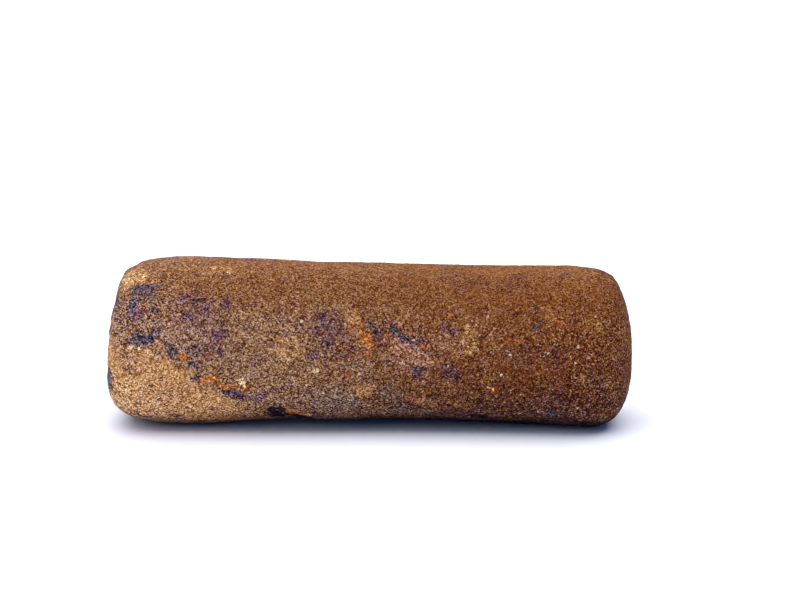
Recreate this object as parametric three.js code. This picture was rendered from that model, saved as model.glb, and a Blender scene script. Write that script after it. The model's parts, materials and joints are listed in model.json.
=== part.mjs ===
// A handstone: the long stone that is pushed to and fro with both hands over a grinding slab.
// It is one solid bar of stone, pecked to shape, a little waisted by wear, with a full, rounded end
// at each side. It lies on its side, on a small worn flat under the swelling of each end.
//
// Millimetres, +Z up. X runs along the stone, and the side seen first looks towards -Y.
// The origin is under the middle of the stone's box, on the surface that it lies on.

import * as THREE from "three";
import { ImprovedNoise } from "three/addons/math/ImprovedNoise.js";

// Driving sizes of the bar
const LENGTH = 236;
const LEFT_HEIGHT = 74.4;
const FLANK_HEIGHT = 71.8;
const WAIST_HEIGHT = 70.1;
const RIGHT_HEIGHT = 69.9;
const LEFT_DEPTH = 78;
const WAIST_DEPTH = 73;
const RIGHT_DEPTH = 76;

// How far the waist stands clear of the ground, and how deep the two resting flats are worn in
const WAIST_LIFT = 1;
const REST_WEAR = 0.9;

// Height of the foremost point of each end above the ground
const LEFT_TIP_HEIGHT = 24;
const RIGHT_TIP_HEIGHT = 36;

// Each end rounds off over its own length at the top, at the underside and at the sides. Fullness 2
// is an ellipse and more is squarer, with a value of its own at the crown, which is the top.
// Above its tip the end leans back by a slope.
const LEFT_END = { top: 44, under: 56, side: 31, crown: 5.5, fullness: 4.2, lean: 0.07 };
const RIGHT_END = { top: 29, under: 20, side: 28, crown: 2.7, fullness: 2.7, lean: 0.02 };

// The section across the stone is an oval, squarer on its underside
const TOP_FULLNESS = 2.2;
const UNDER_FULLNESS = 2.4;

// Places along the stone, as shares of its length
const LEFT_SWELL_AT = 0.155;
const FLANK_AT = 0.4;
const WAIST_AT = 0.66;
const RIGHT_SWELL_AT = 0.87;
const LEFT_HEEL_AT = 0.16;
const LEFT_ARCH_AT = 0.26;
const RIGHT_ARCH_AT = 0.73;
const RIGHT_HEEL_AT = 0.94;

// Hand dressing: broad facets and the shallower marks of the pecking stone
const FACET_SIZE = 34;
const FACET_RELIEF = 1.1;
const PECK_SIZE = 11;
const PECK_RELIEF = 0.35;

// Damage on the front, each an oval hollow: its place along the stone from the left tip and above the
// ground, how long, tall and deep it is, and how far its rim runs out beyond that oval
const HOLLOWS = {
  footSpall: { along: 81, up: 9.5, long: 14, tall: 9, deep: 1.3 },
  endNick: { along: 3.5, up: 57, long: 6, tall: 5, deep: 1.4 },
  shoulderBruise: { along: 20, up: 60, long: 17, tall: 15, deep: 0.7 },
};
const RIM_SPREAD = 1.4;

// A crust has come away from the lower left of the front, below a line that falls to the right
const SCAR = { high: 58, low: 6, reach: 88, deep: 0.6, lip: 5 };

// All of it dies out over this width, before the middle line of the ends and of the underside
const FRONT_FADE = 14;

// How finely the surface is cut into faces, and how many short steps measure the way between rings
const SIDES = 66;
const RINGS = 62;
const STEPS_PER_RING = 40;

const STONE_COLOUR = 0x86603f;

// A smooth line through heights or widths at given places, level beyond the first and the last
function smoothLine(places, values) {
  const line = new THREE.CubicInterpolant(places.map((p) => p * LENGTH), values, 1);
  line.settings = { endingStart: THREE.ZeroSlopeEnding, endingEnd: THREE.ZeroSlopeEnding };
  return (x) => line.evaluate(x)[0];
}

const topLine = smoothLine(
  [LEFT_SWELL_AT, FLANK_AT, WAIST_AT, RIGHT_SWELL_AT],
  [LEFT_HEIGHT, FLANK_HEIGHT, WAIST_HEIGHT, RIGHT_HEIGHT],
);
const underLine = smoothLine(
  [LEFT_HEEL_AT, LEFT_ARCH_AT, RIGHT_ARCH_AT, RIGHT_HEEL_AT],
  [-REST_WEAR, WAIST_LIFT, WAIST_LIFT, -REST_WEAR],
);
const depthLine = smoothLine(
  [LEFT_SWELL_AT, WAIST_AT, RIGHT_SWELL_AT],
  [LEFT_DEPTH, WAIST_DEPTH, RIGHT_DEPTH],
);

// Share of the full section left at a distance from the tip of an end, in the direction of a turn
// about the stone's length, where 1 is straight up and -1 straight down
function endShare(end, fromTip, upward) {
  const near = upward * upward;
  const reach = THREE.MathUtils.lerp(end.side, upward > 0 ? end.top : end.under, near);
  const fullness = THREE.MathUtils.lerp(end.fullness, upward > 0 ? end.crown : end.fullness, near);
  const left = Math.max(0, 1 - fromTip / reach);
  return (1 - left ** fullness) ** (1 / fullness);
}

// How far an end is set back at a height over its tip
function endLean(end, fromTip, overTip) {
  const near = Math.max(0, 1 - fromTip / end.top);
  return end.lean * Math.max(0, overTip) * near * near;
}

const signedPower = (value, power) => Math.sign(value) * Math.abs(value) ** power;

// The point of the plain bar at a place along it and a turn about its length
function barPoint(x, turn) {
  const upward = Math.sin(turn);
  const top = topLine(x);
  const under = underLine(x);
  const middle = (top + under) / 2;
  const power = 2 / (upward > 0 ? TOP_FULLNESS : UNDER_FULLNESS);
  const y = (depthLine(x) / 2) * signedPower(Math.cos(turn), power);
  const z = middle + ((top - under) / 2) * signedPower(upward, power);
  const left = endShare(LEFT_END, x, upward);
  const right = endShare(RIGHT_END, LENGTH - x, upward);
  const share = left * right;
  const nearLeft = x < LENGTH / 2;
  const tip = nearLeft ? LEFT_TIP_HEIGHT : RIGHT_TIP_HEIGHT;
  const overTip = (z - tip) * share;
  const leanBack = nearLeft ? endLean(LEFT_END, x, overTip) : -endLean(RIGHT_END, LENGTH - x, overTip);
  return new THREE.Vector3(x + leanBack, y * share, tip + overTip);
}

// The outline along the stone, used only to space the rings evenly from tip to tip
class Meridian extends THREE.Curve {
  getPoint(t, target = new THREE.Vector3()) {
    const x = (LENGTH * (1 - Math.cos(Math.PI * t))) / 2;
    return target.copy(barPoint(x, 0));
  }
}

// Which way is out, seen from a line through the middle of the stone
function outward(point) {
  const inside = point.clone();
  inside.x = THREE.MathUtils.clamp(point.x, LEFT_END.side, LENGTH - RIGHT_END.side);
  inside.y = 0;
  inside.z = (topLine(point.x) + underLine(point.x)) / 2;
  return point.clone().sub(inside).normalize();
}

const noise = new ImprovedNoise();

// Unevenness left by dressing, out of the surface where it is positive
function dressing(point) {
  const wave = (size) => noise.noise(point.x / size, point.y / size, point.z / size);
  return FACET_RELIEF * wave(FACET_SIZE) + PECK_RELIEF * wave(PECK_SIZE);
}

// Depth of the hollows and of the scar at a point of the front
function damage(point) {
  let depth = 0;
  for (const { along, up, long, tall, deep } of Object.values(HOLLOWS)) {
    const away = Math.hypot((2 * (point.x - along)) / long, (2 * (point.z - up)) / tall);
    depth += deep * (1 - THREE.MathUtils.smoothstep(away, 0, RIM_SPREAD));
  }
  const edge = SCAR.high + (SCAR.low - SCAR.high) * (point.x / SCAR.reach);
  depth += SCAR.deep * (1 - THREE.MathUtils.smoothstep(point.z, edge - SCAR.lip, edge));
  return depth * THREE.MathUtils.smoothstep(-point.y, 0, FRONT_FADE);
}

// A sphere of rings and sides, drawn out into the stone
function stoneGeometry() {
  const rings = new Meridian();
  rings.arcLengthDivisions = RINGS * STEPS_PER_RING;
  const places = rings.getSpacedPoints(RINGS).map((p) => p.x);
  const geometry = new THREE.SphereGeometry(1, SIDES, RINGS);
  const position = geometry.getAttribute("position");
  const perRing = SIDES + 1;
  for (let i = 0; i < position.count; i += 1) {
    const ring = Math.floor(i / perRing);
    const side = (i % perRing) % SIDES;
    const point = barPoint(places[ring], (-2 * Math.PI * side) / SIDES);
    point.addScaledVector(outward(point), dressing(point) - damage(point));
    point.z = Math.max(0, point.z);
    position.setXYZ(i, point.x, point.y, point.z);
  }
  geometry.deleteAttribute("normal");
  geometry.deleteAttribute("uv");
  geometry.computeVertexNormals();
  return geometry;
}

function handstone() {
  const geometry = stoneGeometry();
  geometry.computeBoundingBox();
  const middle = geometry.boundingBox.getCenter(new THREE.Vector3());
  geometry.translate(-middle.x, -middle.y, 0);
  const stone = new THREE.MeshStandardMaterial({ color: STONE_COLOUR, roughness: 0.9, metalness: 0 });
  const mesh = new THREE.Mesh(geometry, stone);
  mesh.name = "handstone";
  return mesh;
}

const group = new THREE.Group();
group.add(handstone());

export default group;
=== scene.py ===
# %% [markdown]
# # A handstone, from its solid to its skin
#
# A handstone is the long upper stone that two hands push to and fro over a grinding slab. It is one
# piece of rock, pecked to a bar and then worn by use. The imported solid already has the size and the
# outline, so these cells only add what a hand would feel and an eye would see: pecked grain, chips,
# the edge of a lost crust, and the stains of a long time in the ground.
#
# The first cell loads that solid. Everything is in metres in the solid's own frame: X runs along the
# stone, the front looks towards -Y, and the stone lies on z = 0.

# %% Load the solid
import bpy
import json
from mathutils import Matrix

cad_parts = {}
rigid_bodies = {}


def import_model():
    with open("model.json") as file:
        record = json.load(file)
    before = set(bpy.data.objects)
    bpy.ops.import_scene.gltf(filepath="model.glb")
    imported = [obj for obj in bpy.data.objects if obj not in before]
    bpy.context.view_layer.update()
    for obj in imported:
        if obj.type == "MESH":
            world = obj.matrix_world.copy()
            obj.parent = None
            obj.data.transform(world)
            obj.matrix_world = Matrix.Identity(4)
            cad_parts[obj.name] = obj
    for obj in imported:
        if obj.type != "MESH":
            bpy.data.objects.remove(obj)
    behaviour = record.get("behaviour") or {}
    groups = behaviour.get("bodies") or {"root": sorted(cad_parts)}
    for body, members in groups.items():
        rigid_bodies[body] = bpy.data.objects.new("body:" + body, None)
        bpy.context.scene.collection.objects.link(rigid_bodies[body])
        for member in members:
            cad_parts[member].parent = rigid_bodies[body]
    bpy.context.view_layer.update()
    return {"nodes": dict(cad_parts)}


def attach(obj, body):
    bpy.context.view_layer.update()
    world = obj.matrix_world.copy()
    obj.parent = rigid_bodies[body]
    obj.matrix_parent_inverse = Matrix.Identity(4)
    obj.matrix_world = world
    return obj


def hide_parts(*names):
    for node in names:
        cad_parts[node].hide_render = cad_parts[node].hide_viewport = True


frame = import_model()

MM = 0.001

# %% [markdown]
# ## The camera
#
# A short lens close by would swell the near end, and a very long one would flatten the stone. The
# stone is seen from a little under a metre with a 90 mm lens, from 12 degrees above the table, so the
# top is seen at a glancing angle and the front almost square on. The camera aims at a point a little
# right of the stone's middle and over it, so the stone stands left of the picture's middle and below
# it. A camera could be turned by hand until it looks right. Here it is placed by angles about the
# point that it aims at, because angles can be measured and changed one at a time.

# %% Place the camera
from math import cos, radians, sin

import bpy
from mathutils import Vector

SCENE = bpy.context.scene
AIM = Vector((13.5, 0, 55.4)) * MM
AIM_DISTANCE = 900 * MM
ELEVATION = radians(12)
SWING = radians(1.4)
LENS_LENGTH = 89.6
SENSOR_WIDTH = 36


def direction(swing, elevation):
    """The way from the stone towards something seen at these two angles."""
    return Vector((sin(swing) * cos(elevation), -cos(swing) * cos(elevation), sin(elevation)))


camera = bpy.data.objects.new("camera", bpy.data.cameras.new("camera"))
camera.data.lens = LENS_LENGTH
camera.data.sensor_width = SENSOR_WIDTH
camera.location = AIM + direction(SWING, ELEVATION) * AIM_DISTANCE
camera.rotation_euler = (-direction(SWING, ELEVATION)).to_track_quat("-Z", "Y").to_euler()
SCENE.collection.objects.link(camera)
SCENE.camera = camera
print("camera at, mm:", [round(c / MM) for c in camera.location])

# %% [markdown]
# ## An even skin
#
# The solid is cut into flat faces of a few millimetres, which is too coarse for grain. It could be
# subdivided, but that keeps the long thin faces at both ends. A voxel remesh cuts the whole surface
# again into even squares, and a few rounds of smoothing take the old facets out. The squares are
# 0.9 mm, which keeps the piece under 200,000 triangles.

# %% Remesh the solid
SKIN_STEP = 0.9 * MM
SMOOTH_ROUNDS = 9

solid = frame["nodes"]["handstone"]
blank = bpy.data.objects.new("blank", solid.data.copy())
SCENE.collection.objects.link(blank)
remesh = blank.modifiers.new("even squares", "REMESH")
remesh.mode = "VOXEL"
remesh.voxel_size = SKIN_STEP
smooth = blank.modifiers.new("facets out", "SMOOTH")
smooth.iterations = SMOOTH_ROUNDS
skin = bpy.data.meshes.new_from_object(blank.evaluated_get(bpy.context.evaluated_depsgraph_get()))
bpy.data.objects.remove(blank)
print("skin has", len(skin.polygons), "squares")

# %% [markdown]
# ## Two ways to say where a point is
#
# Grain is the same in every direction, so it is worked out from a point's place in space. A stain is
# found the way a person would find it: so far along the stone, and so far round its girth. Both are
# kept in millimetres. Along runs from the middle of the stone, and girth runs from the middle of the
# front, up over the top.

# %% Read the skin's points
import numpy as np

AXIS_HEIGHT = 36.5
GIRTH_RADIUS = 37.0


def read(values, name, width):
    """One of the skin's own lists of numbers, as rows."""
    flat = np.empty(len(values) * width)
    values.foreach_get(name, flat)
    return flat.reshape(-1, width)


points = read(skin.vertices, "co", 3) / MM
normals = read(skin.vertex_normals, "vector", 3)
along = points[:, 0]
height = points[:, 2]
girth = np.arctan2(height - AXIS_HEIGHT, -points[:, 1]) * GIRTH_RADIUS
print("points:", len(points), "girth, mm:", round(float(np.ptp(girth))))

# %% [markdown]
# ## Noise that can be measured
#
# Three patterns make all the relief. Lumps are smooth swellings of about a given size. Cells scatter
# one point in each little block of space and measure how far it is, which is what a blow of a
# pecking stone leaves: a round dint about one point. A rise is a soft step from 0 to 1 between two
# values. The shader could make the same patterns, but then the shape of the stone wouldn't have them.

# %% Lumps, dints and soft steps
from mathutils import noise

PLACES = [Vector(p) for p in points.tolist()]
FINER_BY = 2.0
FADE_RATE = 1.0
LOT_STRIDE = 7.3


def lumps(size, detail=1, shift=0.0):
    """Smooth noise over the skin, from about -1 to 1, with swellings of this size.

    Detail is the number of layers. Each is half as large as the one before, and half as strong. A
    shift reads the noise at another place, so that no two patterns are alike.
    """
    start = Vector((shift, 2 * shift, 3 * shift))
    return np.array([noise.fractal(p / size + start, FADE_RATE, FINER_BY, detail) for p in PLACES])


def cells(size, shift=0.0):
    """How far each point is from the nearest scattered one, in shares of size, and that one's lot."""
    start = Vector((shift, 2 * shift, 3 * shift))
    near = [noise.voronoi(p / size + start) for p in PLACES]
    away = np.array([distances[0] for distances, _ in near])
    lot = np.array([noise.cell(found[0] * LOT_STRIDE) for _, found in near])
    return away, (lot + 1) / 2


def rise(values, low, high):
    """0 below low, 1 above high, and a soft step between them."""
    share = np.clip((values - low) / (high - low), 0, 1)
    return share * share * (3 - 2 * share)


# Every border below is broken up by these two, one slow and one fine.
waver = lumps(5, detail=3, shift=3.1)
ragged = lumps(1.8, detail=2, shift=8.4)
print("waver runs from", waver.min().round(2), "to", waver.max().round(2))

# %% [markdown]
# ## Truing the top
#
# Seen from the front, the top edge runs almost straight down to the right and then level, because a
# maker sights along it and grinds off what stands up. The solid's facets leave small waves there. The
# skin measures its own ridge, place by place, and the upper side is moved to a line through a few
# heights. Past the line's ends the truing fades out, and soft bumps fill or cut the corners a little.
# It could be done with a sculpting brush, but a line of heights can be read and changed.

# %% True the top
# Each pair is a place along the stone and the height of its top there.
TOP_LINE = [
    (-88, 74.4), (-77, 74.5), (-50, 73.0), (-9, 71.8),
    (18, 71.7), (45, 70.4), (72, 70.6), (92, 70.5),
]
RIDGE_STEP = 3.0
FADE = 12.0
# Each bump has its place along the stone, how far it reaches and how much it adds.
CORNERS = {
    "left corner": (-112.4, 2.2, 2.4),
    "left chamfer": (-107.6, 2.0, -0.5),
    "left crown": (-100, 9, -0.7),
    "right crown": (106, 7, 1.2),
    "right corner": (111.5, 3.5, 1.9),
}

turns = np.array(TOP_LINE)
stations = np.arange(turns[0, 0], turns[-1, 0], RIDGE_STEP)
ridge = [height[np.abs(along - s) < RIDGE_STEP].max() for s in stations]
wanted = np.interp(stations, turns[:, 0], turns[:, 1])
lift = np.interp(along, stations, wanted - ridge)
fade_in = rise(along, stations[0] - FADE, stations[0])
fade_out = 1 - rise(along, stations[-1], stations[-1] + FADE)
lift *= fade_in * fade_out
for middle, reach, added in CORNERS.values():
    lift += added * np.exp(-((along - middle) / reach) ** 2)
upward = rise(normals[:, 2], 0.2, 0.95)
lift *= upward
points[:, 2] += lift
height = points[:, 2]
print("top moved by, mm:", lift.min().round(2), "to", lift.max().round(2))

# %% [markdown]
# ## The pecked ground
#
# The stone was shaped by blows, so its surface is a field of shallow dints, and between them stand
# the grains of the rock. Handling has since rubbed the high places. A mason's surface could be
# sculpted dint by dint. Here each scattered cell is one dint, a few are struck much harder, and a
# slow noise says where rubbing has taken the roughness down.

# %% Dints and grain
DINT_SIZE = 3.2
DINT_DEPTH = 0.2
SHALLOWEST_SHARE = 0.4
GRAIN_SIZE = 1.9
GRAIN_HEIGHT = 0.13
SWELL_SIZE = 11
SWELL_HEIGHT = 0.16
HARD_BLOW_SIZE = 9.0
HARD_BLOW_SHARE = 0.3
HARD_BLOW_DEPTH = 0.45

rubbed = rise(lumps(26, detail=2, shift=1.3), 0.0, 0.5)
away, lot = cells(DINT_SIZE)
depth = DINT_DEPTH * (SHALLOWEST_SHARE + (1 - SHALLOWEST_SHARE) * lot)
relief = -depth * (1 - rise(away, 0.1, 0.62)) * (1 - 0.6 * rubbed)
relief += GRAIN_HEIGHT * lumps(GRAIN_SIZE, detail=3, shift=5.2) * (1 - 0.5 * rubbed)

# Slow swells, weaker on the top, which has been trued.
off_top = 1 - 0.7 * rise(normals[:, 2], 0.3, 0.9)
relief += SWELL_HEIGHT * lumps(SWELL_SIZE, detail=2, shift=6.7) * off_top

away, lot = cells(HARD_BLOW_SIZE, shift=2.9)
struck = (lot < HARD_BLOW_SHARE) * (1 - rise(away + 0.06 * ragged, 0.05, 0.22))
relief -= HARD_BLOW_DEPTH * struck
print("pecked relief, mm:", relief.min().round(2), "to", relief.max().round(2))

# %% [markdown]
# ## Where the crust came away
#
# At the lower left of the front a thin crust has gone, and the fresh stone below is lighter. Its edge
# runs down to the foot in a ragged line. The line is given by the few places where it turns, and
# every point of the skin measures how far it is below or above that line. A boolean cut would leave
# a knife edge all along. A soft step with noise in it breaks up as a real edge does.

# %% The edge of the lost crust
# Each pair is a place along the stone and how far round it the edge runs there.
CRUST_EDGE = [
    (-124, 20), (-106, 4), (-100, 9), (-89, 7), (-76, -2),
    (-72, -9), (-55, -14), (-42, -23), (-31, -39),
]
CRUST_STEP = 0.5
EDGE_WAVER = 1.6
FRESH_DROP = 0.6
FAR_BELOW = -999.0

turns = np.array(CRUST_EDGE, float)
edge = np.interp(along, turns[:, 0], turns[:, 1], right=FAR_BELOW)
over_edge = girth - edge + EDGE_WAVER * waver
within = rise(-points[:, 1], 0, 14) * (along < turns[-1, 0])
fresh = (1 - rise(over_edge, -0.8, 0.8)) * within
lip = np.exp(-((over_edge - 1.5) / 2.2) ** 2) * within

# Dirt has darkened the fresh stone towards the right and towards the foot.
fading = 1 - 0.65 * rise(along + 4 * waver, -74, -42)
fresh_tone = fresh * fading * (1 - 0.3 * rise(-girth + 4 * waver, 22, 38))

# The crust ends in a raised lip, and the fresh stone is lowest right beside it.
beside_edge = 1 - rise(-over_edge, 2, 9)
relief += CRUST_STEP * (lip * (0.5 + 0.5 * ragged) - FRESH_DROP * fresh * beside_edge)
print("fresh stone covers", round(float(fresh.mean()) * 100, 1), "% of the skin")

# %% [markdown]
# ## Marks, each with a name and a place
#
# A stain is an oval on the skin, with a ragged border. Each one says how far along and how far round
# it lies, how long and how wide it is, how it slants and how strong it is. Painting an image would
# tie the marks to one picture of the stone. Ovals can be moved, and the same oval can also sink the
# surface, so that colour and shape agree. Only marks that the eye picks out are placed one by one, to
# the nearest millimetre or so. The countless small ones come later, out of noise. A strength over 1
# fills an oval out to its rim, and a weak mark is broken up by the noise in its border.

# %% A brush for marks
WANDER = 1.5
FRAYING = 0.4

wander_along = along + WANDER * lumps(5, detail=4, shift=41.7)
wander_round = girth + WANDER * lumps(5, detail=4, shift=45.2)


def mark(place, size, slant):
    """From 0 outside to 1 inside an oval (along, girth) of that (length, width), slanting by degrees."""
    across = wander_along - place[0]
    up = wander_round - place[1]
    turn = radians(slant)
    length = across * cos(turn) + up * sin(turn)
    width = up * cos(turn) - across * sin(turn)
    reach = np.hypot(2 * length / size[0], 2 * width / size[1])
    near_front = rise(-points[:, 1], -6, 4)
    return (1 - rise(reach + FRAYING * (waver + ragged), 0.6, 1.3)) * near_front


def layer(marks, margin=0.0):
    """Many marks as one layer: at each point the strongest one counts. A margin makes them larger."""
    total = np.zeros(len(points))
    for place, (length, width), slant, strength in marks.values():
        size = (length + margin, width + margin)
        total = np.maximum(total, strength * mark(place, size, slant))
    return total


print("borders wander by, mm:", round(float(np.abs(wander_along - along).max()), 1))

# %% [markdown]
# ## Slate, rust and plum
#
# Three dark stains lie on this stone. Slate is the blue black rest of the old crust, broken into scraps,
# and at the lower left rim it is partly painted shade. Rust is iron that came out along cracks. Plum is a
# purple brown haze, in patches of its own and as a fringe round every scrap of slate, and along the foot
# it is painted shade. They are separate layers, because each has its own colour, its own border and its
# own way of following the surface. One noise could scatter them all, but the eye knows this stone by
# where they lie.

# %% Slate, the rest of the old crust, with painted shade at the lower left rim
SLATE = {
    "shoulder bar": ((-98, 33), (14, 4), 4, 1.0),
    "shoulder stem": ((-103, 26), (12, 4), 90, 1.0),
    "shoulder filling": ((-98, 28), (9, 6), 0, 0.7),
    "shoulder crumb": ((-93, 21), (5, 3), -40, 0.9),
    "shoulder crack": ((-73, 26), (8, 2), -8, 0.9),
    "left edge": ((-113, 26), (8, 7), 0, 1.0),
    "seam start": ((-98, 8), (10, 6), 10, 1.3),
    "seam start crumb": ((-92, 11), (6, 2.5), 20, 0.85),
    "seam step": ((-85, 3), (11, 5), -65, 0.85),
    "seam foot": ((-77, -2), (7, 3), -30, 1.0),
    "seam haze": ((-74, 4), (12, 5), -10, 0.5),
    "seam middle": ((-72, -8), (7, 4), 0, 0.75),
    "seam crack": ((-63, -13), (9, 2), -33, 1.0),
    "seam shadow": ((-58, -15), (11, 3), -12, 0.5),
    # The left rim and the foot rim are black crust bits, and partly painted shade along the shadowed
    # lower left edge.
    "left rim crust and shade": ((-115, -17), (4, 17), 0, 1.0),
    "foot rim crust and shade": ((-101, -32), (20, 3), -15, 0.62),
    "foot crumb": ((-85, -29), (4, 3), 0, 0.9),
    "upright streak": ((3, 13), (11, 2.5), -72, 0.95),
    "slanting streak": ((15, 11), (17, 2.5), -32, 0.95),
    "end of streak": ((24, 8), (6, 3), -30, 0.8),
    "lone spot": ((22, -5), (5, 5), 0, 1.4),
    "flank crumb": ((-18, 7), (7, 3), -40, 0.85),
    "flank haze": ((-20, 16), (8, 5), -70, 0.55),
    "right haze": ((74, 15), (7, 6), -30, 0.6),
    "top crumb": ((87, 46), (5, 3), 0, 0.95),
    "low right": ((79, -25), (10, 4), -15, 0.9),
    "low right crumb": ((83, -18), (4, 3), 0, 0.8),
}
slate = layer(SLATE)
print("slate covers", round(float((slate > 0.5).mean()) * 100, 1), "%")

# %% Rust, the iron along the cracks
RUST = {
    "above shoulder bar": ((-95, 36), (10, 2), 0, 0.85),
    "shoulder crack": ((-76, 28), (8, 2), -12, 0.6),
    "seam spot": ((-80, 2), (5, 4), -30, 1.0),
    "seam flow": ((-68, -8), (11, 4), 5, 1.0),
    "seam bend": ((-63, -11), (11, 3), -28, 1.0),
    "seam rim": ((-56, -12), (12, 3), 0, 1.0),
    "over middle spot": ((-7, 16), (6, 7), -60, 0.5),
    "middle spot": ((0, 9), (8, 6), -60, 0.95),
    "middle drip": ((1, 3), (5, 3), -85, 0.9),
    "flank fleck": ((-11, 5), (4, 3), -80, 0.7),
    "shoulder blush": ((-88, 14), (24, 12), -20, 0.3),
    "pit heart": ((-34, -28.5), (9, 7), -40, 1.4),
    "pit drip": ((-28, -31), (10, 3.5), -20, 1.2),
    "under streak": ((25, 6), (4, 3), -30, 0.65),
    "right of streak": ((36, 20), (4, 2), 0, 0.6),
    "long line": ((64, 9), (16, 3), 5, 0.56),
    "right spot": ((84, 16), (6, 4), -50, 0.55),
    "lower spot": ((54, -13), (5, 3), -8, 0.9),
    "low middle": ((19, -20), (7, 3), -20, 0.75),
    "low left": ((-2, -16), (7, 4), -65, 0.6),
    "lower fleck": ((-8, -6), (4, 3), -60, 0.7),
    "upper fleck": ((-7, 1), (5, 3), -30, 0.65),
    "low right": ((76, -24), (4, 3), 0, 0.7),
}
rust = layer(RUST)
print("rust covers", round(float((rust > 0.5).mean()) * 100, 1), "%")

# %% Plum, the haze round them, and painted shade at the foot
PLUM = {
    "below shoulder bar": ((-102, 20), (12, 7), -55, 0.85),
    "crack start": ((-80, 27), (7, 4), -30, 0.95),
    "under crack": ((-72, 22), (12, 6), -22, 0.75),
    "shoulder haze": ((-74, 18), (32, 17), -25, 0.4),
    "shoulder dark spot": ((-77, 18), (7, 4), 0, 0.95),
    "shoulder spot": ((-62, 24), (6, 5), 0, 0.95),
    "seam haze": ((-70, 7), (22, 13), -25, 0.4),
    "left haze": ((-90, 13), (20, 9), -10, 0.4),
    "upper seam spot": ((-65, 10), (7, 6), 0, 0.9),
    "seam spot": ((-64, 3), (5, 4), 0, 1.0),
    "seam shadow": ((-57, -16), (15, 5), -12, 1.0),
    "seam tail": ((-49, -17), (10, 4), 0, 0.9),
    "flank cloud": ((-16, 14), (22, 15), -10, 0.55),
    "lower flank cloud": ((-11, 4), (16, 9), -40, 0.5),
    "flank spot": ((-23, 2), (5, 4), 0, 0.85),
    "left of worn place": ((9, -1), (7, 3), -30, 0.75),
    "right of worn place": ((37, -6), (11, 7), -10, 0.95),
    "over worn place": ((37, 14), (9, 7), -20, 0.6),
    "pit": ((-28, -32), (16, 8), -10, 1.1),
    "low middle": ((15, -22), (11, 7), -40, 0.55),
    # The foot and right foot marks are painted shade under the overhang, laid in as plum.
    "foot": ((46, -29), (44, 7), 0, 0.65),
    "right foot": ((84, -30), (36, 8), 0, 0.6),
    "low right": ((84, -19), (22, 6), 0, 0.5),
    "right haze": ((81, 3), (18, 11), -30, 0.35),
    "right end": ((101, -8), (13, 8), -30, 0.4),
}
FRINGE_MARGIN = 2.5
FRINGE_STRENGTH = 0.6

fringe = FRINGE_STRENGTH * layer(SLATE, margin=FRINGE_MARGIN)
plum = np.maximum(layer(PLUM), fringe)
print("plum covers", round(float((plum > 0.3).mean()) * 100, 1), "%")

# %% [markdown]
# ## Ochre, worn places, ash and lime
#
# Four pale films lie between the dark ones. Ochre is dry yellow earth. Worn places are rubbed down to
# rosy grain. Ash is a dull grey bloom low on the stone. Lime is a white crust of which only a few
# crumbs are left. They are kept weak, since a strong film would look like paint.

# %% Ochre earth and worn places
OCHRE_EARTH = {
    "left shoulder": ((-104, 43), (22, 14), -60, 0.95),
    "above shoulder": ((-66, 44), (26, 8), 0, 0.5),
    "under seam start": ((-94, 4), (9, 5), -20, 0.85),
    "over seam rim": ((-54, -11), (6, 5), -30, 0.8),
    "flank": ((-35, 4), (14, 15), 0, 0.75),
    "over flank cloud": ((-12, 22), (14, 5), -15, 0.6),
    "over middle spot": ((-6, 17), (10, 9), -45, 0.95),
    "low left": ((-9, -15), (22, 7), -12, 0.5),
    "low streaks": ((-1, -15), (12, 6), 20, 1.1),
    "low middle": ((24, -20), (20, 6), -15, 0.65),
    "low right": ((40, -22), (15, 7), -30, 0.65),
    "right of worn place": ((44, 9), (16, 7), -65, 0.95),
    "right flank": ((79, 20), (14, 7), -78, 0.55),
    "right end": ((98, 16), (12, 9), -30, 0.6),
    "lower right end": ((106, -12), (10, 7), -40, 0.55),
    "right spot": ((94, -8), (6, 4), -20, 0.85),
}
ochre = layer(OCHRE_EARTH)

WORN_PLACES = {
    "middle": ((18, 2), (23, 16), -42, 0.8),
    "right of middle": ((38, 7), (19, 10), -17, 0.6),
    "over streak": ((16, 18), (13, 3), 58, 0.6),
    "lower middle": ((-3, -3), (14, 8), -10, 0.4),
    "right flank": ((50, 8), (34, 22), -10, 0.35),
    "right end": ((97, 33), (12, 9), -50, 0.25),
}
worn = layer(WORN_PLACES)
print("ochre and worn cover", [round(float((part > 0.3).mean()) * 100, 1) for part in (ochre, worn)], "%")

# %% Ash and lime
ASH = {
    "low left": ((-15, -20), (26, 16), -10, 0.85),
    "left of worn place": ((-4, -5), (18, 11), -28, 0.5),
    "under worn place": ((10, -16), (15, 9), -25, 0.65),
    "foot": ((20, -28), (36, 8), -5, 0.75),
    "flank": ((-15, 17), (24, 16), -50, 0.45),
    "shoulder": ((-97, 28), (14, 11), -20, 0.55),
}
ash = layer(ASH)

LIME = {
    "seam start": ((-103, 5), (4, 3), 30, 0.7),
    "under seam start": ((-96, 3), (14, 4), -22, 0.5),
    "seam rim": ((-55, -9), (6, 4), -40, 1.0),
    "flank": ((-22, -5), (4, 3), 0, 1.0),
    "over streak": ((18, 20), (3, 2), 60, 0.7),
    "lower spot": ((54, -13), (3, 2), -8, 0.75),
    "pit rim": ((-39, -32), (2.5, 1.5), -40, 0.8),
}
lime = layer(LIME)
print("ash and lime cover", [round(float((part > 0.3).mean()) * 100, 1) for part in (ash, lime)], "%")

# %% [markdown]
# ## The sides that are out of sight
#
# The back, the top, the underside and the ends lay in the same ground, so they carry the same stains,
# only plainer. Those could be placed one by one too, but no mark there is known. Slow noise lays them
# down in loose patches. It is turned down on the front, where the marks have their own places.

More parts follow.
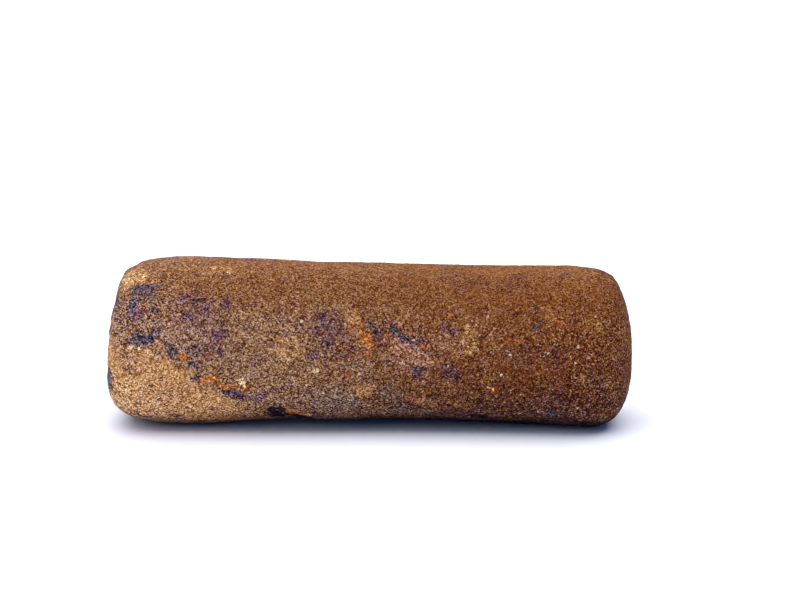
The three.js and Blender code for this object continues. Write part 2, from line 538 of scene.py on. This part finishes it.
# %% Loose stains all round
# Full strength on the back, a fifth of it on the front.
hidden = 1 - 0.8 * rise(-points[:, 1], -8, 10)
patches = lumps(17, detail=4, shift=11.3)
flecks = lumps(6, detail=3, shift=14.9)
slate = np.maximum(slate, 0.9 * hidden * rise(patches + 0.5 * flecks, 0.55, 0.85))
rust = np.maximum(rust, 0.8 * hidden * rise(lumps(9, detail=3, shift=17.7) - 0.3 * patches, 0.55, 0.8))
plum = np.maximum(plum, 0.6 * (0.5 + 0.5 * hidden) * rise(lumps(21, detail=4, shift=19.1), 0.15, 0.6))
ochre = np.maximum(ochre, 0.6 * hidden * rise(lumps(13, detail=4, shift=23.5), 0.25, 0.7))
worn = np.maximum(worn, 0.6 * hidden * rise(lumps(16, detail=4, shift=27.9), 0.3, 0.7))
ash = np.maximum(ash, 0.6 * hidden * rise(lumps(19, detail=4, shift=31.4), 0.3, 0.7))
print("slate now covers", round(float((slate > 0.5).mean()) * 100, 1), "%")

# %% [markdown]
# ## Relief that follows the marks
#
# Old crust stands proud in its middle and is bitten at its rim, cracks are sunk, and the spall at the
# foot is a real hollow. Each could be cut by hand. Here the same ovals that hold the paint do it, so
# the two agree. The two flats that the stone rests on stay flat: the relief dies out towards them.

# %% Sink and raise, then move the skin
PITS = {
    "foot pit": ((-40, -29), (12, 10), -60, 1.2),
    "foot break": ((-33, -33), (18, 8), -20, 1.0),
    "right foot": ((48, -31), (9, 4), 0, 0.8),
}
CRACKS = {
    "seam shadow": ((-58, -16), (12, 4), -12, 1.0),
    "shoulder": ((-76, 26), (13, 3), -20, 1.0),
    "upright streak": ((3, 13), (10, 3), -72, 1.0),
    "slanting streak": ((17, 10), (20, 3), -30, 0.9),
    "lone spot": ((22, -5), (4, 4), 0, 1.0),
    "seam": ((-64, -12), (16, 3), -25, 1.0),
    "seam middle": ((-74, -8), (8, 4), 0, 0.8),
    "long line": ((64, 9), (13, 2), 6, 0.7),
}
PIT_DEPTH = 0.3
CRACK_DEPTH = 0.35
CRUST_HEIGHT = 0.12
RIM_BITE = 0.15
LIME_HEIGHT = 0.1

pits = layer(PITS)
relief -= PIT_DEPTH * pits + CRACK_DEPTH * layer(CRACKS)
rim = np.exp(-((slate - 0.3) / 0.12) ** 2) * (slate > 0.05)
relief += CRUST_HEIGHT * rise(slate, 0.5, 0.8) - RIM_BITE * rim
relief += LIME_HEIGHT * rise(lime, 0.5, 0.9)

resting = (1 - rise(height, 0.1, 1.6)) * (normals[:, 2] < -0.5)
relief *= 1 - resting
points += normals * relief[:, None]
points[:, 2] = np.maximum(points[:, 2], 0)
print("relief, mm:", relief.min().round(2), "to", relief.max().round(2))

# %% [markdown]
# ## The skin becomes the piece
#
# The moved points go back into the mesh, and the layers ride along as attributes, which are numbers kept
# at each point. The material reads them, so paint and relief can't slip apart. Finished colours could be
# kept there too, but they would be no finer than the squares. Hollows and pits are layers as well: pits
# are painted near black, and hollows get painted shade.

# %% Write the mesh
hollow = rise(-relief, 0.05, 0.4)
LAYERS = {
    "fresh": fresh_tone,
    "slate": slate,
    "rust": rust,
    "plum": plum,
    "ochre": ochre,
    "worn": worn,
    "ash": ash,
    "lime": lime,
    "hollow": hollow,
    "pit": pits,
}

skin.vertices.foreach_set("co", (points * MM).ravel())
for name, values in LAYERS.items():
    skin.attributes.new(name, "FLOAT", "POINT").data.foreach_set("value", values.astype(np.float32))
skin.shade_smooth()
skin.materials.clear()
stone = bpy.data.objects.new("stone_skin", skin)
SCENE.collection.objects.link(stone)
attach(stone, "root")
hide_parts("handstone")
print("triangles:", sum(len(p.vertices) - 2 for p in skin.polygons))

# %% [markdown]
# ## A way to write a material
#
# Nodes could be placed by hand in the editor. In a script, a few small helpers keep the recipe
# readable. Paint names a colour, add puts in a node and fills its sockets, sums and times work on
# values, between turns a value into a mask, and blend lays one colour over another by a mask.
#
# Colours are mixed here as they look to the eye, like paint on a palette. They are turned into light
# only at the very end.

# %% Helpers for nodes
STONE = bpy.data.materials.new("pecked_stone")
STONE.use_nodes = True
NODES = STONE.node_tree.nodes
SHADER = NODES["Principled BSDF"]


def paint(red, green, blue):
    """A colour as a painter would name it, each part from 0 to 255."""
    return (red / 255, green / 255, blue / 255, 1.0)


def add(kind, sockets, **settings):
    """A new node. A socket takes a plain value, or another node's output."""
    node = NODES.new(kind)
    for name, value in settings.items():
        setattr(node, name, value)
    for name, value in sockets.items():
        if isinstance(value, bpy.types.NodeSocket):
            STONE.node_tree.links.new(value, node.inputs[name])
        else:
            node.inputs[name].default_value = value
    return node


def sums(operation, first, second):
    """One sum on two values."""
    return add("ShaderNodeMath", {0: first, 1: second}, operation=operation).outputs[0]


def times(first, second):
    """One value times another."""
    return sums("MULTIPLY", first, second)


def between(value, low, high, start=0.0, end=1.0):
    """A soft step from start to end, as the value goes from low to high. Low may be the larger."""
    sockets = {"Value": value, "From Min": low, "From Max": high, "To Min": start, "To Max": end}
    return add("ShaderNodeMapRange", sockets, interpolation_type="SMOOTHSTEP").outputs[0]


def blend(mask, under, over, way="MIX"):
    """One colour laid over another by a mask. Sockets 6 and 7 are the mix node's two colours."""
    sockets = {0: mask, 6: under, 7: over}
    node = add("ShaderNodeMix", sockets, data_type="RGBA", blend_type=way, clamp_result=True)
    return node.outputs[2]


# %% [markdown]
# ## Noise inside the stone
#
# The patterns of the material are solid: they fill the stone as its minerals do. A pattern could be
# wrapped round the stone like paper, but then a seam would show somewhere. They are measured in
# millimetres, like everything else that a person would measure.

# %% Millimetres for the material
where = add("ShaderNodeTexCoord", {}).outputs["Object"]
in_mm = add("ShaderNodeVectorMath", {0: where, 1: (1 / MM,) * 3}, operation="MULTIPLY").outputs[0]
place = add("ShaderNodeSeparateXYZ", {0: in_mm}).outputs


def cloud(size, detail=2.0, rough=0.5):
    """Noise with swellings of this size in millimetres, from 0 to 1 and mostly near a half."""
    sockets = {"Vector": in_mm, "Scale": 1 / size, "Detail": detail, "Roughness": rough}
    return add("ShaderNodeTexNoise", sockets).outputs["Fac"]


def crystals(size):
    """Cells of this size in millimetres, each with a colour of its own drawn by lot."""
    sockets = {"Vector": in_mm, "Scale": 1 / size}
    colour = add("ShaderNodeTexVoronoi", sockets).outputs["Color"]
    return add("ShaderNodeSeparateColor", {0: colour}).outputs


# %% [markdown]
# ## The body of the rock
#
# The rock is brown with tan in it, paler at the left end, more orange to the right and on the top, and
# darker low down with painted shade. From left to right it also falls darker, partly its own colour and
# partly painted fall-off of the light from the left, and the lower right end is darkest, partly with
# painted shade. One even brown would look like plastic. Here each change of colour follows a measure,
# such as the way along the stone or the height, and a cloud bends it, because no such border is straight
# in real rock.

# %% Brown, tan and ochre
LEFT_BROWN = paint(118, 82, 57)
LEFT_TAN = paint(136, 98, 66)
RIGHT_BROWN_AND_SHADE = paint(101, 54, 20)
OCHRE = paint(108, 64, 28)
LOW_SHADE = paint(63, 27, 14)
RED_BROWN = paint(76, 30, 0)
LOW_SHADE_RISE = 0.07


def bent(measure, size, reach, detail=4.0):
    """A measure with a cloud of this size added to it, up to this reach, so that its lines bend."""
    return sums("ADD", measure, times(cloud(size, detail), reach))


body = blend(between(cloud(6, 5.0, 0.65), 0.38, 0.62), LEFT_BROWN, LEFT_TAN)
# Towards the right the body turns a darker brown. This is partly its own colour and partly painted
# fall-off of the light from the left.
to_right = between(bent(place["X"], 26, 80), -30, 130)
body = blend(to_right, body, RIGHT_BROWN_AND_SHADE)
on_top = between(bent(place["Z"], 12, 26), 60, 86)
body = blend(times(on_top, between(place["X"], -95, -50, 0.5, 0.85)), body, OCHRE)

# Painted shade darkens the stone low down, and it reaches higher towards the right.
over_low_shade = sums("ADD", place["Z"], times(place["X"], -LOW_SHADE_RISE))
low_shade = between(bent(over_low_shade, 10, 20), 12, 42, 1, 0)
body = blend(times(low_shade, between(to_right, 0.3, 0.95, 0.68, 1.0)), body, LOW_SHADE)
# The lower right end turns red-brown. This is partly its own colour and partly painted shade, since the
# light comes from the upper left.
right_end_tone_and_shade = times(between(place["X"], 65, 105), between(place["Z"], 15, 60, 0.4, 0.08))
body = blend(right_end_tone_and_shade, body, RED_BROWN)
print("nodes for the body:", len(NODES))

# %% [markdown]
# ## Painted sheen, tints and flecks
#
# Smaller changes lie over that. A painted sheen pales the top edge, where light glances along it. A cloud
# of a few millimetres tints the rock ochre where it is dense and plum where it is thin, and a finer cloud
# does the same in flecks. Each tint could have a cloud of its own, but the two ends of one cloud never
# overlap, so they stay clean. Both are weaker on the top, and the flecks are weaker at the two ends of
# the stone as well.

# %% Painted sheen, tints and flecks
TOP_SHEEN = paint(176, 132, 98)
OCHRE_TINT = paint(146, 106, 38)
PLUM_TINT = paint(90, 58, 68)
OCHRE_FLECK = paint(168, 124, 46)
PLUM_FLECK = paint(84, 48, 70)
TOP_FALL = 0.03

# The top falls to the right, and this takes the fall out of the height.
even_height = sums("ADD", place["Z"], times(place["X"], TOP_FALL))
# A painted highlight pales the top edge, where light glances along it.
body = blend(between(even_height, 66, 74, 0, 0.2), body, TOP_SHEEN)
from_middle = add("ShaderNodeMath", {0: place["X"]}, operation="ABSOLUTE").outputs[0]

tint = cloud(3.2, 5.0, 0.65)
tint_strength = between(even_height, 50, 66, 0.42, 0.22)
body = blend(times(between(tint, 0.53, 0.66), tint_strength), body, OCHRE_TINT)
body = blend(times(between(tint, 0.47, 0.34), tint_strength), body, PLUM_TINT)

fleck = cloud(1.5, 3.0, 0.6)
off_the_top = between(even_height, 44, 60, 0.35, 0.15)
fleck_strength = times(off_the_top, between(from_middle, 40, 100, 1.0, 0.5))
body = blend(times(between(fleck, 0.58, 0.68), fleck_strength), body, OCHRE_FLECK)
body = blend(times(between(fleck, 0.42, 0.32), fleck_strength), body, PLUM_FLECK)

# %% [markdown]
# ## Stains over the rock
#
# Each layer's border is soft at the size of the mesh. Clouds break it up at the size of a grain, so
# that a stain ends between grains as a real one does. A finer mesh could hold such a border too, but
# it would take millions of faces.

# %% Borders frayed by the grain
FINE_FRAY = 1.3
BROAD_FRAY = 2.2

fine_cloud = sums("SUBTRACT", cloud(0.9, 2.0, 0.6), 0.5)
broad_cloud = sums("SUBTRACT", cloud(2.6, 4.0, 0.7), 0.5)
fray = sums("ADD", times(fine_cloud, FINE_FRAY), times(broad_cloud, BROAD_FRAY))


def stain(name, low, high, most=1.0):
    """The mask of one layer of the mesh, with its border frayed. Where no stain is, nothing frays."""
    value = add("ShaderNodeAttribute", {}, attribute_name=name).outputs["Fac"]
    inside = between(value, 0.02, 0.3)
    frayed = sums("ADD", value, times(fray, inside))
    return between(frayed, low, high, 0, most)


# %% [markdown]
# ## Pale films
#
# The films go one over another: fresh stone where the crust is gone, earth, wear, ash, and painted shade
# in the hollows. Each could be one flat colour, but a film has a grain of its own. Earth is streaked
# where it lies dry at the left end, and worn places come and go in patches.

# %% Lay down the pale films
FRESH_STONE = paint(177, 127, 76)
DRY_EARTH = paint(178, 130, 74)
MOIST_EARTH = paint(150, 104, 46)
PALE_STREAK = paint(236, 204, 152)
DARK_STREAK = paint(112, 72, 44)
ROSY_GRAIN = paint(162, 114, 92)
ASH_GREY = paint(97, 82, 71)
HOLLOW_SHADE = paint(66, 44, 36)

fresh_mask = stain("fresh", 0.2, 0.8)
body = blend(times(fresh_mask, 0.9), body, FRESH_STONE)

earth = stain("ochre", 0.1, 1.1, 0.65)
body = blend(earth, body, blend(to_right, DRY_EARTH, MOIST_EARTH))
streaks = cloud(2.0, 4.0, 0.7)
dry_end = times(earth, between(place["X"], -75, -45, 1.4, 0.3))
body = blend(times(dry_end, between(streaks, 0.53, 0.6)), body, PALE_STREAK)
body = blend(times(dry_end, between(streaks, 0.46, 0.4, 0, 0.7)), body, DARK_STREAK)

rubbed_patches = between(cloud(4.0, 3.0), 0.42, 0.58, 0.5, 1.4)
worn_mask = times(stain("worn", 0.1, 1.1, 0.7), rubbed_patches)
body = blend(worn_mask, body, ROSY_GRAIN)
body = blend(stain("ash", 0.1, 1.0, 0.55), body, ASH_GREY)
# Painted shade darkens the hollows a little.
body = blend(stain("hollow", 0.2, 0.9, 0.3), body, HOLLOW_SHADE)
print("nodes with the pale films:", len(NODES))

# %% [markdown]
# ## Dark stains
#
# Plum is a haze, so the rock shows through it, and along the foot it is painted shade. Slate is scraps of
# crust, blue black with grey in it, and a few of them carry a painted blue-grey glint.
# Rust has a brown rim and an orange heart, which is its one layer read twice with different limits.
# Lime comes last, because its crumbs lie on top. They could be materials of their own, but a mesh has
# one material to a face, and these borders are finer than a face.

# %% Lay down the dark stains
PLUM_LEFT = paint(82, 48, 62)
PLUM_RIGHT = paint(66, 34, 36)
SCRAP_BLACK = paint(32, 24, 34)
SCRAP_GREY = paint(70, 60, 66)
SCRAP_GLINT = paint(96, 104, 124)
PIT_BLACK = paint(16, 8, 20)

body = blend(stain("plum", 0.1, 1.0, 0.85), body, blend(to_right, PLUM_LEFT, PLUM_RIGHT))
slate_mask = stain("slate", 0.4, 0.8)
scraps = blend(between(cloud(1.3, 2.0), 0.4, 0.62), SCRAP_BLACK, SCRAP_GREY)
# A painted blue-grey glint lies in a few scraps.
scraps = blend(between(cloud(0.9, 2.0), 0.6, 0.68, 0, 0.6), scraps, SCRAP_GLINT)
body = blend(times(slate_mask, 0.84), body, scraps)
pit_mask = stain("pit", 0.25, 0.55, 0.95)
body = blend(pit_mask, body, PIT_BLACK)

# %% Lay down rust and lime
RUST_BROWN = paint(140, 74, 36)
RUST_ORANGE = paint(186, 92, 18)
RUST_GOLD = paint(224, 150, 38)
LIME_CRUMB = paint(238, 198, 142)

iron = stain("rust", 0.4, 0.7, 0.9)
iron_heart = stain("rust", 0.7, 1.1)
orange = blend(between(cloud(1.8, 2.0), 0.42, 0.62), RUST_ORANGE, RUST_GOLD)
bright = times(iron_heart, between(cloud(1.2, 3.0), 0.36, 0.52))
body = blend(iron, body, blend(bright, RUST_BROWN, orange))
body = blend(stain("lime", 0.38, 0.75, 0.88), body, LIME_CRUMB)
print("nodes with the stains:", len(NODES))

# %% [markdown]
# ## Grains
#
# Seen close, the rock is a mass of grains about half a millimetre wide, dark beside light. That
# speckle is the first thing that the eye takes in. It could be one fine noise, but noise has no
# grains, only a blur. Here each grain is a cell that draws its own brightness by lot. The lot is
# added to the colour and doesn't multiply it, so light grains turn pale and dark ones stay warm.

# %% Speckle the rock
GRAIN_STRENGTH = 0.36
SPECKLE_SIZE = 0.58
FINE_SPECKLE_SIZE = 0.38

grain = crystals(SPECKLE_SIZE)
finer = crystals(FINE_SPECKLE_SIZE)
lot_of_light = sums("ADD", times(grain[0], 0.55), times(finer[0], 0.45))
tone = add("ShaderNodeCombineColor", {0: lot_of_light, 1: lot_of_light, 2: lot_of_light}).outputs[0]

# Weaker on the top, stronger at the foot and at both ends, weaker to the right, stronger on worn
# places, and weaker on fresh stone and in pits.
strength = times(between(even_height, 50, 66, 1.03, 0.8), GRAIN_STRENGTH)
strength = times(strength, between(even_height, 8, 32, 1.5, 1.0))
strength = times(strength, between(from_middle, 60, 105, 1.0, 1.25))
strength = times(strength, between(to_right, 0, 1, 1.04, 0.76))
strength = times(strength, between(worn_mask, 0, 0.5, 1.0, 1.25))
strength = times(strength, between(fresh_mask, 0, 0.8, 1.0, 0.82))
strength = times(strength, between(pit_mask, 0, 0.9, 1.0, 0.5))
body = blend(strength, body, tone, "LINEAR_LIGHT")

# %% [markdown]
# ## Rare grains
#
# A few grains in a hundred are other minerals: dark, orange or almost white. They could be placed one
# by one, but nobody would notice where they are, only how many. So each is a cell whose lot is very
# high, and the limit says how rare it is. Most of them are weaker on the top.

# %% Rare grains of other minerals
RARE_SIZE = 1.0
DARK_GRAIN = paint(48, 32, 40)
ORANGE_GRAIN = paint(176, 102, 44)
PALE_GRAIN = paint(226, 200, 172)

rare = crystals(RARE_SIZE)
flank = between(even_height, 50, 66, 1.0, 0.25)
body = blend(between(rare[0], 0.984, 0.986, 0, 0.55), body, DARK_GRAIN)
body = blend(times(between(rare[1], 0.992, 0.994, 0, 0.55), flank), body, ORANGE_GRAIN)
body = blend(times(between(grain[1], 0.985, 0.987, 0, 0.6), flank), body, PALE_GRAIN)
body = blend(times(between(rare[2], 0.9975, 0.998, 0, 0.8), flank), body, PALE_GRAIN)

# %% [markdown]
# ## The foot, and from paint to light
#
# The lowest few millimetres are darkened with painted shade, more so to the right. Real shadow could do
# it alone, but soft light reaches under the stone. Then comes the step from paint to light. A shader
# wants to know how much light a surface sends back, and that isn't even to the eye: a grey that looks
# half bright sends back a fifth. A gamma of 2.2 turns the one into the other.

# %% Painted shade at the foot, then the light sent back
FOOT_SHADE = paint(24, 14, 20)
EYE_GAMMA = 2.2

foot_shade_mask = between(bent(place["Z"], 5, 6, 3.0), 6, 13, 0.75, 0)
body = blend(times(foot_shade_mask, between(to_right, 0.2, 0.6, 0.4, 1.0)), body, FOOT_SHADE)
light_sent_back = add("ShaderNodeGamma", {"Color": body, "Gamma": EYE_GAMMA}).outputs[0]

# %% [markdown]
# ## Gloss and the finest relief
#
# Dry stone is dull, and old crust has a faint polish. What is finer than the mesh is left to bump:
# the grain that makes the light sparkle a little. Bump bends the light only, so nothing that should
# show in the outline is left to it.

# %% Roughness and bump
DRY_ROUGHNESS = 0.88
CRUST_ROUGHNESS = 0.6
GLOSS = 0.06
BUMP_HEIGHT = 0.3 * MM
BUMP_STRENGTH = 0.7

bumps = sums("ADD", cloud(0.6, 2.0, 0.7), times(cloud(1.4, 2.0), 0.8))
bump = add("ShaderNodeBump", {"Height": bumps, "Distance": BUMP_HEIGHT, "Strength": BUMP_STRENGTH})
roughness = between(slate_mask, 0, 1, DRY_ROUGHNESS, CRUST_ROUGHNESS)
STONE.node_tree.links.new(light_sent_back, SHADER.inputs["Base Color"])
STONE.node_tree.links.new(roughness, SHADER.inputs["Roughness"])
STONE.node_tree.links.new(bump.outputs[0], SHADER.inputs["Normal"])
SHADER.inputs["Specular IOR Level"].default_value = GLOSS
skin.materials.append(STONE)
print("material nodes:", len(NODES))

# %% [markdown]
# ## The table
#
# The stone lies on plain white board. The floor could end behind the stone, but an edge would draw
# the eye, so it is wide enough that the camera never sees one.

# %% Lay the floor
FLOOR_REACH = 9.0
BOARD_WHITE = (0.9, 0.9, 0.9, 1)
BOARD_ROUGHNESS = 0.95

floor_mesh = bpy.data.meshes.new("floor")
corners = [(x * FLOOR_REACH, y * FLOOR_REACH, 0) for x, y in ((-1, -1), (1, -1), (1, 1), (-1, 1))]
floor_mesh.from_pydata(corners, [], [(0, 1, 2, 3)])
floor = bpy.data.objects.new("floor", floor_mesh)
SCENE.collection.objects.link(floor)
board = bpy.data.materials.new("white_board")
board.use_nodes = True
finish = board.node_tree.nodes["Principled BSDF"].inputs
finish["Base Color"].default_value = BOARD_WHITE
finish["Roughness"].default_value = BOARD_ROUGHNESS
finish["Specular IOR Level"].default_value = 0.0
floor_mesh.materials.append(board)
print("floor is, m:", 2 * FLOOR_REACH, "wide")

# %% [markdown]
# ## The light
#
# A strong, wide light stands almost overhead and a little behind, so the top is light and the front
# darkens towards the foot. A weak one comes from the front left. The room is dim and blue, which
# tints the strip of shadow under the stone, but the camera sees a pale backdrop. A small lamp would
# carve the stone out with hard shadow. Wide lights let its colour be read.

# %% Set the room and two wide lights
ROOM_LIGHT = (0.12, 0.22, 0.52, 1)
SEEN_BACKDROP = (0.9, 0.92, 0.95, 1)

world = bpy.data.worlds.new("room")
world.use_nodes = True
seen = world.node_tree.nodes.new("ShaderNodeLightPath").outputs["Is Camera Ray"]
choose = world.node_tree.nodes.new("ShaderNodeMix")
choose.data_type = "RGBA"
choose.inputs[6].default_value = ROOM_LIGHT
choose.inputs[7].default_value = SEEN_BACKDROP
world.node_tree.links.new(seen, choose.inputs[0])
world.node_tree.links.new(choose.outputs[2], world.node_tree.nodes["Background"].inputs["Color"])
SCENE.world = world


def soft_sun(name, swing, elevation, strength, spread, colour):
    """A wide light from far away, so it is as bright at one end of the stone as at the other."""
    lamp = bpy.data.lights.new(name, "SUN")
    lamp.energy = strength
    lamp.angle = radians(spread)
    lamp.color = colour
    holder = bpy.data.objects.new(name, lamp)
    way = direction(radians(swing), radians(elevation))
    holder.rotation_euler = way.to_track_quat("Z", "Y").to_euler()
    SCENE.collection.objects.link(holder)


soft_sun("overhead", swing=-165, elevation=84, strength=4.2, spread=90, colour=(1.0, 0.96, 0.9))
soft_sun("key", swing=-50, elevation=32, strength=0.84, spread=40, colour=(1.0, 0.97, 0.92))
SCENE.view_settings.view_transform = "Standard"

# %% [markdown]
# ## The end
#
# The skin should keep to the solid's size. That could be judged by eye, but tenths of a millimetre can't
# be seen.

# %% Finish
import json
